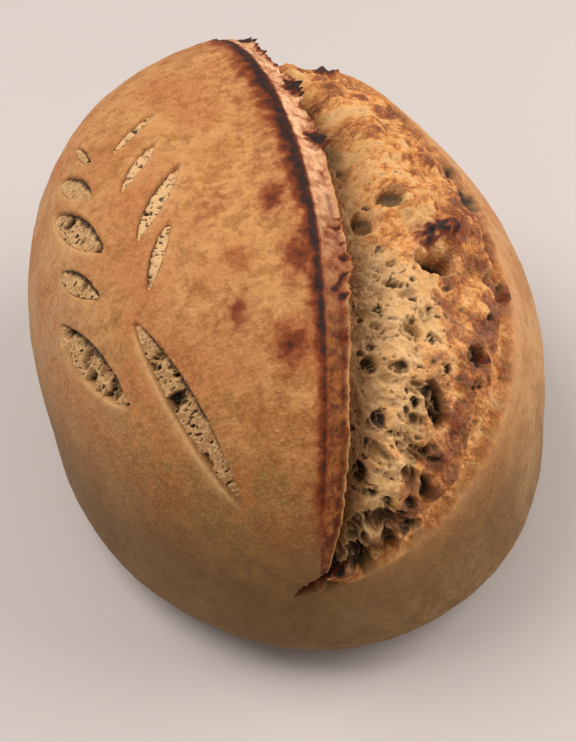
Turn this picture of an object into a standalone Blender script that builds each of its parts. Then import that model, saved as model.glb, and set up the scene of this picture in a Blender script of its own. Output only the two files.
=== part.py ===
"""A round sourdough loaf: one crust-covered solid, torn open along one side.

Metres, +Z up. The origin is the centre of the loaf's flat base, and +Y runs along the ear, away
from the end where the tear starts. Seen from the front, the smooth, scored dome is on the left
and the torn crumb is on the right.

The skin is one ball whose poles are the two ends of the tear. So the ear, its cut face and the
lower edge of the tear each follow a meridian of that ball, from the front tip to the back tip.
A place on the skin is given as the share of the way from tip to tip, and the degrees about the
axis through the tips: 0 is level to the right and 90 is straight up.
"""

import bmesh
import bpy
import numpy as np
from mathutils import Vector, noise

# Driving dimensions of the loaf, in metres
LOAF_WIDTH = 0.200
LOAF_LENGTH = 0.248
DOME_HEIGHT = 0.143
BELLY_HEIGHT = 0.028  # where the loaf is widest
FOOT_SHARE = 0.763  # width of the foot against the belly
FOOT_EDGE = 0.004  # height over which the side turns into the flat foot
PLAN_POWER = 1.97  # 2 is an ellipse in plan
PROFILE_POWER = 3.24  # over 2 is a fuller shoulder than an ellipse has
LEAN_BACK = 0.017  # how far the top leans to the far end
RIGHT_SLOPE = 0.288  # share of its height that the right shoulder has lost
TEAR_AXIS_X = -0.18  # where the tips of the tear lie, against a ball of radius 1
TEAR_AXIS_Z = 0.18

# The ear and the tear, in metres
EAR_LIFT = 0.0065
EAR_FLARE = 0.026  # how far from its crest the skin starts to rise
EAR_EDGE_LIFT = 0.001  # the ragged edge is lower than the crest
EAR_FADE = 0.6  # share of its lift that the ear loses towards the far end
EAR_TABS = ((0.285, 0.003), (0.46, 0.0035), (0.57, 0.003), (0.73, 0.004))  # place and size
TAB_SHARE = 0.018
UNDERCUT = 0.0035
HOLLOW_DEPTH = 0.0080
CRUMB_BULGE = 0.0035
LEDGE_HEIGHT = 0.0045
BACK_SETTLE = 0.0125  # how far the crumb has sunk in the far half
LOWER_LIP = 0.0018
CRAG_HEIGHT = 0.0032
CRAG_SIZE = 0.016
SKIN_LUMP = 0.0012
SKIN_LUMP_SIZE = 0.055

# The grid of the ball, and where each zone of the skin ends, in columns from the crest round
# to the right
RINGS = 50
ZONES = (
    ("cut_face", 3),
    ("undercut", 6),
    ("crumb", 30),
    ("right_side", 41),
    ("foot", 44),
    ("left_side", 54),
    ("dome", 74),
)
LEVEL_LEFT = -180.0
STRAIGHT_DOWN = -90.0
FOOT_MARGIN = 3.0  # degrees that keep the two sides of the foot apart near the tips
DOME_START = -222.0

# Score cuts like an ear of wheat: from, to, width, depth
WHEAT_CUTS = (
    ((0.615, 117.5), (0.553, 115.0), 0.003, 0.003),
    ((0.577, 123.5), (0.490, 116.5), 0.008, 0.004),
    ((0.523, 126.5), (0.406, 118.0), 0.010, 0.004),
    ((0.441, 130.0), (0.364, 123.0), 0.007, 0.004),
    ((0.396, 136.5), (0.252, 130.0), 0.012, 0.005),
    ((0.592, 97.5), (0.543, 110.0), 0.005, 0.003),
    ((0.530, 100.0), (0.466, 110.5), 0.006, 0.003),
    ((0.472, 97.0), (0.388, 110.5), 0.007, 0.004),
    ((0.393, 102.5), (0.327, 112.0), 0.005, 0.004),
    ((0.312, 117.5), (0.114, 117.5), 0.0095, 0.005),
)
LONG_CUT_BOW = 0.0022  # how far the last cut bows away from straight
FRONT_CRACK = ((0.045, 45.0), (0.024, 187.0), 0.005, 0.007)  # where the tear starts, at the tip
CUT_GRID = (8, 12)

# Open cells of the crumb: share of the way, degrees, length, width, degrees that the length is
# turned from across, and depth
CRUMB_CELLS = (
    (0.055, 46.0, 0.009, 0.006, 22.0, 0.009),
    (0.068, 54.0, 0.009, 0.006, -73.0, 0.008),
    (0.078, 32.0, 0.011, 0.006, 1.0, 0.007),
    (0.088, 48.0, 0.016, 0.010, 30.0, 0.007),
    (0.120, 64.0, 0.010, 0.005, -80.0, 0.008),
    (0.132, 38.0, 0.009, 0.005, -37.0, 0.006),
    (0.142, 59.5, 0.011, 0.005, -36.0, 0.005),
    (0.150, 47.5, 0.009, 0.008, 7.0, 0.005),
    (0.192, 47.5, 0.017, 0.008, -47.0, 0.011),
    (0.209, 65.0, 0.008, 0.006, -61.0, 0.006),
    (0.240, 56.0, 0.009, 0.008, 14.0, 0.004),
    (0.248, 40.0, 0.011, 0.009, 24.0, 0.007),
    (0.313, 51.0, 0.020, 0.010, 19.0, 0.009),
    (0.328, 38.5, 0.010, 0.008, 60.0, 0.006),
    (0.349, 63.4, 0.014, 0.008, -74.0, 0.006),
    (0.367, 58.5, 0.009, 0.006, -44.0, 0.005),
    (0.440, 44.0, 0.014, 0.011, 60.0, 0.009),
    (0.492, 45.0, 0.014, 0.009, 70.0, 0.008),
    (0.560, 50.0, 0.009, 0.006, 70.0, 0.005),
    (0.640, 46.0, 0.010, 0.007, 20.0, 0.006),
    (0.720, 55.0, 0.011, 0.008, -40.0, 0.007),
)
CELL_UNEVENNESS = 0.18

CRUST_COLOUR = (0.45, 0.24, 0.10, 1.0)
CRUST_ROUGHNESS = 0.6


def smooth_step(low, high, value):
    t = np.clip((value - low) / (high - low), 0.0, 1.0)
    return t * t * (3.0 - 2.0 * t)


def bump(centre, width, value):
    return np.exp(-(((value - centre) / width) ** 2))


def unit(vectors):
    return vectors / np.maximum(np.linalg.norm(vectors, axis=-1, keepdims=True), 1e-12)


def toward(along, angle):
    """The direction of a place on the skin, from the middle of the ball."""
    polar = np.pi * np.asarray(along, dtype=float)
    turn = np.radians(np.asarray(angle, dtype=float))
    parts = [np.sin(polar) * np.cos(turn), -np.cos(polar) + 0.0 * turn, np.sin(polar) * np.sin(turn)]
    return np.stack(parts, axis=-1)


def body(direction):
    """The plain dome in this direction, with no ear, tear or lumps yet."""
    aim = unit(direction + np.array([TEAR_AXIS_X, 0.0, TEAR_AXIS_Z]))
    plan = np.abs(aim[..., 0] / (LOAF_WIDTH / 2)) ** PLAN_POWER
    plan = plan + np.abs(aim[..., 1] / (LOAF_LENGTH / 2)) ** PLAN_POWER
    below = BELLY_HEIGHT / (1 - FOOT_SHARE**PROFILE_POWER) ** (1 / PROFILE_POWER)
    reach = np.where(aim[..., 2] >= 0, DOME_HEIGHT - BELLY_HEIGHT, below)
    total = plan ** (PROFILE_POWER / PLAN_POWER) + np.abs(aim[..., 2] / reach) ** PROFILE_POWER
    point = aim * (total ** (-1 / PROFILE_POWER))[..., None]
    height = point[..., 2] + BELLY_HEIGHT
    share = np.clip(height / DOME_HEIGHT, 0.0, 1.0)
    side = np.clip(point[..., 0] / (LOAF_WIDTH / 2), 0.0, 1.0)
    point[..., 1] += LEAN_BACK * share**2
    point[..., 2] = height * (1 - RIGHT_SLOPE * side**2 * share)
    return point


def skin_frame(direction):
    """The place on the dome, the way out of it, and the way across it to the right."""
    step = 0.004
    sideways = np.stack([direction[..., 2], 0.0 * direction[..., 2], -direction[..., 0]], axis=-1)
    sideways = unit(sideways + np.array([1e-9, 0.0, 0.0]))
    onward = np.cross(direction, sideways)
    right = body(unit(direction + step * sideways)) - body(unit(direction - step * sideways))
    ahead = body(unit(direction + step * onward)) - body(unit(direction - step * onward))
    return body(direction), unit(np.cross(right, ahead)), unit(right)


def crest_angle(along):
    return 71.5 + 15.0 * np.exp(-along / 0.2) + 8.0 * smooth_step(0.75, 1.0, along)


def ear_lift(along):
    """How far the crest of the ear stands off the dome."""
    return EAR_LIFT * (1 - EAR_FADE * smooth_step(0.55, 0.8, along))


def cut_face_angle(along):
    """How many degrees the ear's cut face takes."""
    return 5.5 + 9.0 * bump(0.0, 0.12, along) + 3.0 * smooth_step(0.65, 0.8, along)


def lower_lip_angle(along):
    return 20.0 + 22.0 * smooth_step(0.05, 0.55, along)


def tear_open(along):
    """0 at the two tips of the tear, 1 where it is fully open."""
    return smooth_step(0.0, 0.10, along) * smooth_step(1.0, 0.88, along)


def rough(points, size, seed):
    """Smooth noise from -1 to 1, with lumps of this size."""
    offset = Vector((seed * 3.7, seed * 1.3, seed * 5.1))
    return np.array([noise.noise(Vector(p) / size + offset) for p in points])


def foot_angle(along, level):
    """Where the side that starts at this level angle meets the table, found by halving."""
    above, under = np.full_like(along, level), np.full_like(along, STRAIGHT_DOWN)
    for _ in range(24):
        middle = (above + under) / 2
        free = body(toward(along, middle))[..., 2] > 0
        above, under = np.where(free, middle, above), np.where(free, under, middle)
    return above


def column_place(columns, along):
    """Angle, share of its zone, and zone number of each vertex, from its column on the ball."""
    crest = crest_angle(along)
    edge = crest - cut_face_angle(along)
    foot_right = np.maximum(foot_angle(along, 0.0), STRAIGHT_DOWN + FOOT_MARGIN)
    foot_left = np.minimum(foot_angle(along, LEVEL_LEFT), STRAIGHT_DOWN - FOOT_MARGIN)
    stops = [crest, edge, edge - 1.5, lower_lip_angle(along), foot_right, foot_left]
    stops += [np.full_like(along, DOME_START), crest - 360.0]
    ends = [0] + [end for _, end in ZONES]
    zone = np.clip(np.searchsorted(ends, columns, side="right") - 1, 0, len(ZONES) - 1)
    angle = np.zeros_like(along)
    share = np.zeros_like(along)
    for number in range(len(ZONES)):
        here = zone == number
        part = (columns - ends[number]) / (ends[number + 1] - ends[number])
        share = np.where(here, part, share)
        angle = np.where(here, stops[number] + (stops[number + 1] - stops[number]) * part, angle)
    return angle, share, zone


def crumb_height(share, along, crags):
    """The torn surface between the hollow under the ear (share 0) and the lower lip (share 1)."""
    rise = -HOLLOW_DEPTH * (1 - smooth_step(0.0, 0.34, share))
    bulge = CRUMB_BULGE * np.sin(np.pi * share) * (0.6 + 0.8 * bump(0.55, 0.17, along))
    front = 0.42 - 0.16 * np.clip(share, 0.0, 0.5)
    ledge = LEDGE_HEIGHT * smooth_step(front - 0.02, front, along) * smooth_step(0.1, 0.35, share)
    ledge = ledge * (1 - smooth_step(0.75, 1.0, share)) * (1 - smooth_step(0.6, 0.85, along))
    trough = -0.003 * bump(0.93, 0.08, share)
    window = smooth_step(0.0, 0.15, share) * (1 - smooth_step(0.88, 1.0, share))
    settled = -BACK_SETTLE * smooth_step(0.42, 0.66, along) * smooth_step(0.0, 0.2, share)
    settled = settled * (1 - smooth_step(0.7, 1.0, share)) * (1 - smooth_step(0.85, 1.0, along))
    return rise + bulge + ledge + trough + settled + CRAG_HEIGHT * crags * window


def ear_tabs(along):
    """Burnt flakes that stick out from the ragged edge of the ear."""
    return sum(size * bump(place, TAB_SHARE, along) for place, size in EAR_TABS)


def with_flat_foot(points):
    """Nothing reaches below the table, and the side turns softly into the flat foot."""
    height = points[:, 2]
    turning = np.clip(height + FOOT_EDGE, 0.0, 2 * FOOT_EDGE) ** 2 / (4 * FOOT_EDGE)
    points[:, 2] = np.where(height > FOOT_EDGE, height, turning)
    return points


def skin(columns, along):
    """The whole skin of the loaf, as points."""
    angle, share, zone = column_place(columns, along)
    point, out, right = skin_frame(toward(along, angle))
    opened = tear_open(along)
    crags = rough(point, CRAG_SIZE, 1) + 0.7 * rough(point, CRAG_SIZE / 2.2, 2)
    jag = 0.002 * rough(point, 0.011, 4) + ear_tabs(along)
    beside = np.sin(np.pi * along) * np.radians(360.0 - np.mod(crest_angle(along) - angle, 360.0))
    height = SKIN_LUMP * rough(point, SKIN_LUMP_SIZE, 3)
    lift = ear_lift(along)

    shapes = {
        "cut_face": lift + (EAR_EDGE_LIFT - lift) * share + 0.5 * jag * share,
        "undercut": EAR_EDGE_LIFT - (EAR_EDGE_LIFT + HOLLOW_DEPTH) * share + 0.5 * jag * (1 - share),
        "crumb": crumb_height(share, along, crags),
        "right_side": LOWER_LIP * np.exp(-share * 12.0),
        "dome": lift * np.exp(-beside * LOAF_WIDTH / 2 / EAR_FLARE),
    }
    shifts = {
        "cut_face": jag * share,
        "undercut": jag * (1 - share) - UNDERCUT * np.sin(np.pi * share),
    }
    aside = np.zeros_like(along)
    for number, (name, _) in enumerate(ZONES):
        here = (zone == number) * opened
        height = height + here * shapes.get(name, 0.0)
        aside = aside + here * shifts.get(name, 0.0)
    return with_flat_foot(point + out * height[:, None] + right * aside[:, None])


def ball(columns, rings):
    """A sphere of radius 1, with each vertex's column and share of the way from pole to pole."""
    mesh = bmesh.new()
    bmesh.ops.create_uvsphere(mesh, u_segments=columns, v_segments=rings, radius=1.0)
    places = np.array([v.co for v in mesh.verts])
    along = 1 - np.arccos(np.clip(places[:, 2], -1, 1)) / np.pi
    turned = np.mod(np.arctan2(places[:, 0], places[:, 1]) / (2 * np.pi), 1.0) * columns
    return mesh, places, np.mod(np.round(turned), columns), along


def finished(name, mesh, places):
    """An object from a ball whose vertices are moved to these places, with its skin facing out."""
    for vertex, place in zip(mesh.verts, places):
        vertex.co = place
    if mesh.calc_volume(signed=True) < 0:
        bmesh.ops.reverse_faces(mesh, faces=mesh.faces)
    data = bpy.data.meshes.new(name)
    mesh.to_mesh(data)
    mesh.free()
    return bpy.data.objects.new(name, data)


def score_cut(name, centre, start, end, width, depth, bow=0.0):
    """A pointed almond that lies along the skin from start to end, half of it sunk in the loaf."""
    mesh, places, _, way = ball(*CUT_GRID)
    first, last = toward(*start), toward(*end)
    direction = unit(first + (last - first) * way[:, None])
    point, out, _ = skin_frame(direction)
    forward = unit(body(last[None]) - body(first[None]))
    across = unit(np.cross(out, forward))
    taper = np.sqrt(np.clip(1 - places[:, 2] ** 2, 0, 1))
    sideways = places[:, 0] * width / 2 * np.sqrt(taper) + bow * np.sin(np.pi * way)
    moved = point + across * sideways[:, None] + out * (places[:, 1] * depth)[:, None]
    return finished(name, mesh, moved - centre)


def crumb_cell(name, centre, along, angle, length, width, turn, depth):
    """One open cell of the crumb: a ball squashed to its opening, sunk in the torn surface."""
    point, out, right = skin_frame(toward(along, angle))
    left_edge = crest_angle(along) - cut_face_angle(along)
    share = (left_edge - angle) / (left_edge - lower_lip_angle(along))
    point = point + out * crumb_height(share, along, 0.0) * tear_open(along)
    mesh = bmesh.new()
    bmesh.ops.create_icosphere(mesh, subdivisions=2, radius=1.0)
    places = np.array([v.co for v in mesh.verts])
    uneven = 1 + CELL_UNEVENNESS * rough(places, 0.8, 10 * along + angle)
    ahead = np.cross(out, right)
    lengthways = right * np.cos(np.radians(turn)) + ahead * np.sin(np.radians(turn))
    offset = lengthways * places[:, :1] * length / 2
    offset += np.cross(out, lengthways) * places[:, 1:2] * width / 2
    offset += out * places[:, 2:] * depth
    return finished(name, mesh, point + offset * uneven[:, None] - centre)


def make_cutters(centre):
    made = []
    for number, (start, end, width, depth) in enumerate(WHEAT_CUTS):
        bow = LONG_CUT_BOW if number == len(WHEAT_CUTS) - 1 else 0.0
        made.append(score_cut(f"score_{number}", centre, start, end, width, depth, bow))
    made.append(score_cut("front_crack", centre, *FRONT_CRACK))
    for number, place in enumerate(CRUMB_CELLS):
        made.append(crumb_cell(f"cell_{number}", centre, *place))
    return made


def baked_crust():
    made = bpy.data.materials.new("baked_crust")
    made.use_nodes = True
    shader = made.node_tree.nodes["Principled BSDF"]
    shader.inputs["Base Color"].default_value = CRUST_COLOUR
    shader.inputs["Roughness"].default_value = CRUST_ROUGHNESS
    shader.inputs["Metallic"].default_value = 0.0
    return made


def main():
    for obj in list(bpy.data.objects):
        bpy.data.objects.remove(obj, do_unlink=True)
    parts = bpy.data.collections.new("round_loaf")
    tools = bpy.data.collections.new("cutters")
    bpy.context.scene.collection.children.link(parts)
    bpy.context.scene.collection.children.link(tools)
    tools.hide_render = True

    mesh, _, columns, along = ball(ZONES[-1][1], RINGS)
    places = skin(columns, along)
    centre = (places.min(axis=0) + places.max(axis=0)) / 2 * np.array([1.0, 1.0, 0.0])
    loaf = finished("loaf", mesh, places - centre)
    loaf.data.materials.append(baked_crust())
    for polygon in loaf.data.polygons:
        polygon.use_smooth = True
    parts.objects.link(loaf)
    for tool in make_cutters(centre):
        tools.objects.link(tool)
        tool.hide_render = True
        tool.display_type = "WIRE"
        cut = loaf.modifiers.new(tool.name, "BOOLEAN")
        cut.operation = "DIFFERENCE"
        cut.object = tool


main()
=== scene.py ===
"""The looks of a round sourdough loaf: its baked crust with the burnt ear, its torn crumb, and the
crumb that shows in its score cuts.

The skin follows the same named sizes as the solid model, with the detail that a baker would see:
blisters, burnt flakes, open cells, webs and fibres.
"""
import math

import bpy
import numpy as np
from mathutils import Matrix, Vector, noise


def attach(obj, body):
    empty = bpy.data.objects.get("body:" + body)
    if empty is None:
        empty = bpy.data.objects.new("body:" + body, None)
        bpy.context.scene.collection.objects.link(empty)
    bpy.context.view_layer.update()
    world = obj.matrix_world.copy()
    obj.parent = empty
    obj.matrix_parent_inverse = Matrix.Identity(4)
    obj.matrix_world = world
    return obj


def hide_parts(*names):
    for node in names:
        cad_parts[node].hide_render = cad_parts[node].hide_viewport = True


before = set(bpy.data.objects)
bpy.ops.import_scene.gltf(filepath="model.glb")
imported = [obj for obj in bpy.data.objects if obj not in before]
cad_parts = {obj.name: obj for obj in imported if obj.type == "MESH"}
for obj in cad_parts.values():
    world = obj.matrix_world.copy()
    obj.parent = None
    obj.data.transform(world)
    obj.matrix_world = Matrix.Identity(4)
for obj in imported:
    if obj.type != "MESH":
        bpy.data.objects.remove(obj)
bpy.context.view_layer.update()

# The loaf's driving dimensions, in metres and degrees, as in the solid model
LOAF_WIDTH = 0.200
LOAF_LENGTH = 0.248
DOME_HEIGHT = 0.143
BELLY_HEIGHT = 0.028
FOOT_SHARE = 0.763
FOOT_EDGE = 0.004
PLAN_POWER = 1.97
PROFILE_POWER = 3.24
LEAN_BACK = 0.017
RIGHT_SLOPE = 0.288
TEAR_AXIS_X = -0.18
TEAR_AXIS_Z = 0.18
EAR_LIFT = 0.0065
EAR_FLARE = 0.026
EAR_EDGE_LIFT = 0.001
EAR_FADE = 0.6
EAR_TABS = ((0.285, 0.003), (0.46, 0.0035), (0.57, 0.003), (0.73, 0.004))
TAB_SHARE = 0.010
UNDERCUT = 0.0035
HOLLOW_DEPTH = 0.0080
CRUMB_BULGE = 0.0035
LEDGE_HEIGHT = 0.0045
BACK_SETTLE = 0.0125
LOWER_LIP = 0.0018
LIP_FLARE = 0.0075
CRAG_HEIGHT = 0.0032
CRAG_SIZE = 0.016
SKIN_LUMP = 0.0012
SKIN_LUMP_SIZE = 0.055
LEVEL_LEFT = -180.0
STRAIGHT_DOWN = -90.0
DOME_START = -222.0

# How the two main pieces share the skin. The crust piece dips under the torn piece, and the torn
# piece dips under the crust again a little past the lower lip, where both look the same.
CRUST_RINGS = 380
CRUST_ZONES = (
    ("cut_face", 14),
    ("undercut", 26),
    ("recess", 40),
    ("right_side", 84),
    ("foot", 92),
    ("left_side", 134),
    ("dome", 262),
)
TORN_COLUMNS = 196
TORN_ROWS = 500
CLOSE_ROWS = 0.68  # this share of the rows lies in the front half, up to FRONT_HALF of the way
FRONT_HALF = 0.47
UNDER_EAR = 5.0  # degrees that the crumb goes on under the ear
SEAM = 6.0  # degrees past the lower lip where the two pieces meet
OVERLAP = 4.0
CRUST_DIP = 0.002  # how far each piece dips under the other one at the seam
TORN_DIP = 0.0022
RECESS_DEPTH = 0.026
SIDE_HOLLOW = 0.0055  # how far the crumb has sunk halfway along, above the lower lip
LIP_TOAST = 0.006  # how wide the lower lip is toasted

# Score cuts: from, to, width, depth, and the side where the crumb lies deepest, which is 1 for the
# left of the way from start to end
WHEAT_CUTS = (
    ((0.615, 117.5), (0.553, 115.0), 0.003, 0.003, 1),
    ((0.577, 123.5), (0.490, 116.5), 0.008, 0.004, 1),
    ((0.523, 126.5), (0.406, 118.0), 0.010, 0.004, 1),
    ((0.441, 130.0), (0.364, 123.0), 0.007, 0.004, 1),
    ((0.396, 136.5), (0.252, 130.0), 0.012, 0.005, 1),
    ((0.592, 97.5), (0.543, 110.0), 0.005, 0.003, -1),
    ((0.530, 100.0), (0.466, 110.5), 0.006, 0.003, -1),
    ((0.472, 97.0), (0.388, 110.5), 0.007, 0.004, -1),
    ((0.393, 102.5), (0.327, 112.0), 0.005, 0.004, -1),
    ((0.312, 117.5), (0.114, 117.5), 0.0095, 0.005, 1),
)
CUT_FULLNESS = 0.75  # the smaller, the blunter the ends of a cut are
LONG_CUT_BOW = 0.0022
FRONT_CRACK = ((0.045, 45.0), (0.024, 187.0), 0.005, 0.007)

# Open cells of the crumb: share of the way, degrees, length, width, degrees that the length is turned from
# across, depth, and how dark painted shade makes it inside
CRUMB_CELLS = (
    (0.055, 46.0, 0.009, 0.006, 22.0, 0.009, 1.0),
    (0.068, 54.0, 0.009, 0.006, -73.0, 0.008, 0.85),
    (0.078, 32.0, 0.011, 0.006, 1.0, 0.007, 0.8),
    (0.088, 48.0, 0.016, 0.010, 30.0, 0.007, 0.65),
    (0.120, 64.0, 0.010, 0.005, -80.0, 0.008, 0.9),
    (0.132, 38.0, 0.009, 0.005, -37.0, 0.006, 0.85),
    (0.142, 59.5, 0.011, 0.005, -36.0, 0.005, 0.5),
    (0.150, 47.5, 0.009, 0.008, 7.0, 0.005, 0.45),
    (0.192, 47.5, 0.019, 0.0095, -47.0, 0.008, 1.0),
    (0.209, 65.0, 0.008, 0.006, -61.0, 0.006, 0.7),
    (0.240, 56.0, 0.009, 0.008, 14.0, 0.004, 0.35),
    (0.248, 40.0, 0.011, 0.009, 24.0, 0.007, 1.0),
    (0.313, 51.0, 0.020, 0.010, 19.0, 0.009, 0.8),
    (0.328, 38.5, 0.010, 0.008, 60.0, 0.006, 0.5),
    (0.349, 63.4, 0.014, 0.008, -74.0, 0.006, 0.6),
    (0.367, 58.5, 0.009, 0.006, -44.0, 0.005, 0.65),
    (0.440, 44.0, 0.014, 0.011, 60.0, 0.007, 0.5),
    (0.492, 45.0, 0.014, 0.009, 70.0, 0.006, 0.5),
    (0.560, 50.0, 0.009, 0.006, 70.0, 0.005, 0.6),
    (0.640, 46.0, 0.010, 0.007, 20.0, 0.006, 0.6),
    (0.720, 55.0, 0.011, 0.008, -40.0, 0.007, 0.7),
)

# Cells that the eye still picks out, too small or too shallow for the solid
# The dark inside these cells is painted shade
SMALL_CELLS = (
    (0.425, 63.8, 0.009, 0.004, -81.0, 0.003, 0.55),
    (0.367, 62.0, 0.0048, 0.0024, -60.0, 0.003, 0.95),
    (0.485, 54.4, 0.0084, 0.003, -66.0, 0.0012, 0.5),
    (0.527, 40.1, 0.006, 0.003, 60.0, 0.003, 0.8),
    (0.279, 59.8, 0.0062, 0.0024, -9.0, 0.0025, 0.8),
    (0.337, 34.1, 0.008, 0.004, -88.0, 0.003, 0.9),
    (0.257, 62.8, 0.0066, 0.0024, -80.0, 0.0025, 0.8),
    (0.238, 63.1, 0.007, 0.006, -68.0, 0.003, 0.4),
    (0.232, 64.8, 0.0026, 0.002, -75.0, 0.002, 1.0),
    (0.224, 64.8, 0.004, 0.0028, -10.0, 0.002, 0.8),
    (0.24, 51.4, 0.0044, 0.0032, -80.0, 0.0025, 0.9),
    (0.21, 58.8, 0.0066, 0.0048, 0.0, 0.003, 0.75),
    (0.222, 46.8, 0.0044, 0.0034, 34.0, 0.0025, 0.9),
    (0.218, 40.1, 0.003, 0.002, 30.0, 0.0015, 0.9),
    (0.222, 38.1, 0.0022, 0.0016, 31.0, 0.0015, 0.9),
    (0.192, 55.8, 0.0026, 0.0022, 34.0, 0.002, 0.95),
    (0.186, 53.1, 0.004, 0.003, -71.0, 0.003, 1.0),
    (0.198, 53.1, 0.009, 0.006, 6.0, 0.003, 0.45),
    (0.289, 38.8, 0.004, 0.0022, 41.0, 0.002, 0.8),
    (0.293, 48.8, 0.0048, 0.0024, 35.0, 0.0015, 0.6),
    (0.158, 44.1, 0.0054, 0.0032, -66.0, 0.003, 0.95),
    (0.156, 41.4, 0.0066, 0.0022, 24.0, 0.0025, 0.8),
    (0.108, 59.1, 0.007, 0.0034, 29.0, 0.0035, 0.9),
    (0.116, 40.1, 0.006, 0.0042, -50.0, 0.0035, 0.85),
    (0.106, 48.4, 0.0052, 0.0036, -50.0, 0.003, 0.75),
    (0.104, 41.0, 0.0036, 0.0026, 5.0, 0.0025, 0.85),
    (0.1, 37.0, 0.0034, 0.0024, 40.0, 0.0025, 0.8),
    (0.027, 56.0, 0.008, 0.006, -44.0, 0.008, 1.0),
    (0.487, 41.5, 0.017, 0.014, 70.0, 0.0034, 1.0),
    (0.45, 38.5, 0.015, 0.016, 70.0, 0.0028, 0.95),
    (0.045, 38.0, 0.017, 0.009, 10.0, 0.006, 1.0),
    (0.098, 30.0, 0.013, 0.007, 40.0, 0.005, 0.95),
    (0.135, 47.0, 0.008, 0.006, -20.0, 0.004, 0.75),
    (0.165, 62.0, 0.009, 0.005, 70.0, 0.004, 0.8),
    (0.175, 52.0, 0.006, 0.005, 10.0, 0.003, 0.6),
)

# Tips of crumb that stood up in the heat: place, length, width, turn, lift, and how burnt they are
BURNT_TIPS = (
    (0.34, 51.4, 0.018, 0.0085, 33.0, 0.0034, 0.95),
    (0.349, 48.5, 0.012, 0.008, 60.0, 0.0016, 0.9),
    (0.688, 46.5, 0.011, 0.008, 0.0, 0.0022, 1.0),
    (0.712, 45.5, 0.011, 0.008, 20.0, 0.0032, 1.05),
    (0.734, 43.5, 0.01, 0.007, 30.0, 0.0022, 0.95),
    (0.378, 44.5, 0.009, 0.006, 40.0, 0.001, 0.4),
    (0.337, 33.0, 0.009, 0.0036, -88.0, 0.0012, 0.8),
    (0.186, 40.0, 0.016, 0.004, -50.0, 0.0008, 0.3),
    (0.158, 36.5, 0.014, 0.007, -60.0, 0.0004, 0.22),
    (0.253, 36.5, 0.011, 0.004, -70.0, 0.0006, 0.6),
)

# Burns on the crust: share of the way, degrees, length, width, turn, strength
BURNS = (
    (0.263, 94.1, 0.016, 0.013, -70.0, 0.6),
    (0.224, 84.5, 0.019, 0.014, 85.0, 0.74),
    (0.295, 78.5, 0.02, 0.015, 87.0, 0.76),
    (0.372, 81.0, 0.022, 0.012, 69.0, 0.74),
    (0.311, 91.5, 0.012, 0.01, -85.0, 0.4),
    (0.395, 94.1, 0.024, 0.019, -69.0, 0.34),
)

# The way that the crumb was pulled as it tore
PULL = (0.60, -0.32, -0.73)


def smooth_step(low, high, value):
    t = np.clip((value - low) / (high - low), 0.0, 1.0)
    return t * t * (3.0 - 2.0 * t)


def bump(centre, width, value):
    return np.exp(-(((value - centre) / width) ** 2))


def unit(vectors):
    return vectors / np.maximum(np.linalg.norm(vectors, axis=-1, keepdims=True), 1e-12)


def toward(along, angle):
    polar = np.pi * np.asarray(along, dtype=float)
    turn = np.radians(np.asarray(angle, dtype=float))
    parts = [np.sin(polar) * np.cos(turn), -np.cos(polar) + 0.0 * turn, np.sin(polar) * np.sin(turn)]
    return np.stack(parts, axis=-1)


def body(direction):
    aim = unit(direction + np.array([TEAR_AXIS_X, 0.0, TEAR_AXIS_Z]))
    plan = np.abs(aim[..., 0] / (LOAF_WIDTH / 2)) ** PLAN_POWER
    plan = plan + np.abs(aim[..., 1] / (LOAF_LENGTH / 2)) ** PLAN_POWER
    below = BELLY_HEIGHT / (1 - FOOT_SHARE**PROFILE_POWER) ** (1 / PROFILE_POWER)
    reach = np.where(aim[..., 2] >= 0, DOME_HEIGHT - BELLY_HEIGHT, below)
    total = plan ** (PROFILE_POWER / PLAN_POWER) + np.abs(aim[..., 2] / reach) ** PROFILE_POWER
    point = aim * (total ** (-1 / PROFILE_POWER))[..., None]
    height = point[..., 2] + BELLY_HEIGHT
    share = np.clip(height / DOME_HEIGHT, 0.0, 1.0)
    side = np.clip(point[..., 0] / (LOAF_WIDTH / 2), 0.0, 1.0)
    point[..., 1] += LEAN_BACK * share**2
    point[..., 2] = height * (1 - RIGHT_SLOPE * side**2 * share)
    return point


def skin_frame(direction):
    """The place on the dome, the way out of it, and the way across it to the right."""
    step = 0.004
    sideways = np.stack([direction[..., 2], 0.0 * direction[..., 2], -direction[..., 0]], axis=-1)
    sideways = unit(sideways + np.array([1e-9, 0.0, 0.0]))
    onward = np.cross(direction, sideways)
    right = body(unit(direction + step * sideways)) - body(unit(direction - step * sideways))
    ahead = body(unit(direction + step * onward)) - body(unit(direction - step * onward))
    return body(direction), unit(np.cross(right, ahead)), unit(right)


def crest_angle(along):
    return 71.5 + 15.0 * np.exp(-along / 0.2) + 8.0 * smooth_step(0.75, 1.0, along)


def ear_lift(along):
    return EAR_LIFT * (1 - EAR_FADE * smooth_step(0.55, 0.8, along))


def cut_face_angle(along):
    return 5.5 + 9.0 * bump(0.0, 0.12, along) + 3.0 * smooth_step(0.65, 0.8, along)


def lower_lip_angle(along):
    return 20.0 + 22.0 * smooth_step(0.05, 0.55, along)


def tear_open(along):
    return smooth_step(0.0, 0.10, along) * smooth_step(1.0, 0.88, along)


def front_gap(along):
    """How far the tear gapes under the ear: it opens fast at the front, as a dark crack."""
    return smooth_step(0.0, 0.045, along) * smooth_step(1.0, 0.90, along)


def rough(points, size, seed):
    """Smooth noise from -1 to 1, with lumps of this size; size may differ along each axis."""
    scaled = points / np.asarray(size) + np.array([seed * 3.7, seed * 1.3, seed * 5.1])
    return np.array([noise.noise(Vector(p)) for p in scaled])


def foot_angle(along, level):
    """Where the side that starts at this level angle meets the table, found by halving."""
    above, under = np.full_like(along, level), np.full_like(along, STRAIGHT_DOWN)
    for _ in range(24):
        middle = (above + under) / 2
        free = body(toward(along, middle))[..., 2] > 0
        above, under = np.where(free, middle, above), np.where(free, under, middle)
    return above


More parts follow.
